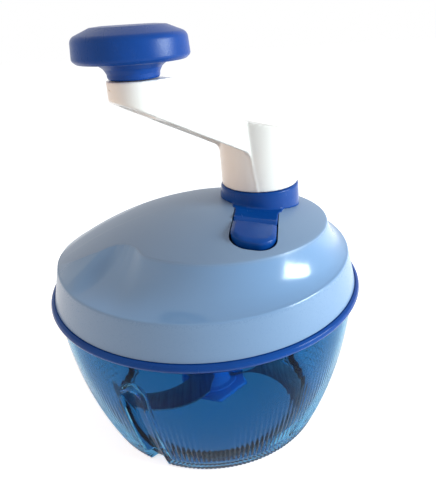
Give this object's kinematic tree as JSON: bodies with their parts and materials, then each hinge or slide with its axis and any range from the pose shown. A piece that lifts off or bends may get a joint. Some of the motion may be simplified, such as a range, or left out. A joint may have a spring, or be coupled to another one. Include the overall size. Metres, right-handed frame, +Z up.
{
  "type": "hand crank food chopper",
  "caption": "Hand-cranked food chopper: clear bowl with a standing blade unit, domed gear cover with a release key, and an offset crank with a turning knob.",
  "frame": {"origin": "centre of the bowl's foot on the table, on the bowl's own axis", "axes": "+Z up; -Y towards the side seen in the picture; +X to the right, the side on which the crank's hub stands"},
  "size_m": [0.17, 0.17, 0.2134],
  "materials": {
    "bowl_clear": "clear tinted gloss",
    "cover_grey_blue": "satin top and glossy terrace",
    "trim_blue": "gloss",
    "knob_blue": "fine satin grain",
    "crank_white": "gloss",
    "carrier_azure": "gloss",
    "gear_white": "matte",
    "bush_grey": "matte",
    "blade_steel": "ground",
    "pin_steel": "turned",
    "foot_rubber": "matte"
  },
  "bodies": {
    "bowl": {"bowl": "bowl_clear", "base_grip_ring": "foot_rubber", "bowl_pivot_pin": "pin_steel"},
    "cover": {"cover_shell": "cover_grey_blue", "cover_base": "trim_blue", "cover_screws": "pin_steel", "crank_collar": "trim_blue", "spindle_bush": "bush_grey", "pinion_bush": "bush_grey", "key_pivot_pin": "pin_steel", "key_spring": "pin_steel"},
    "crank": {"drive_gear": "gear_white", "drive_spindle": "pin_steel", "crank_arm": "crank_white"},
    "knob": {"knob": "knob_blue", "knob_spindle": "pin_steel", "knob_retainer": "pin_steel"},
    "pinion": {"pinion": "gear_white", "pinion_clip": "pin_steel"},
    "release_key": {"release_key": "trim_blue"},
    "blade_unit": {"blade_carrier": "carrier_azure", "blade_bush": "bush_grey", "lower_blade": "blade_steel", "middle_blade": "blade_steel", "upper_blade": "blade_steel"}
  },
  "joints": [
    {"name": "cover_lift", "type": "slide", "parent": "bowl", "child": "cover", "axis": [0, 0, 1], "range_m": [0, 0.12]},
    {"name": "crank_spin", "type": "hinge", "parent": "cover", "child": "crank", "pos_m": [0.03275, 0.00408, 0.1], "axis": [0, 0, 1], "continuous": true},
    {"name": "knob_spin", "type": "hinge", "parent": "crank", "child": "knob", "pos_m": [-0.02301, -0.03325, 0.2], "axis": [0, 0, 1], "continuous": true},
    {"name": "pinion_spin", "type": "hinge", "parent": "cover", "child": "pinion", "pos_m": [0, 0, 0.093], "axis": [0, 0, 1], "continuous": true},
    {"name": "blade_spin", "type": "hinge", "parent": "bowl", "child": "blade_unit", "pos_m": [0, 0, 0.02], "axis": [0, 0, 1], "continuous": true},
    {"name": "key_press", "type": "hinge", "parent": "cover", "child": "release_key", "pos_m": [0.02804, -0.01946, 0.104], "axis": [0.9806, -0.1959, 0], "range_deg": [0, 4], "stiffness_Nm_per_rad": 0.6, "springref_deg": -3.44, "deforming": ["key_spring"]}
  ],
  "couplings": [
    {"joint": "pinion_spin", "follows": "crank_spin", "ratio": -2.6667},
    {"joint": "blade_spin", "follows": "crank_spin", "ratio": -2.6667}
  ]
}
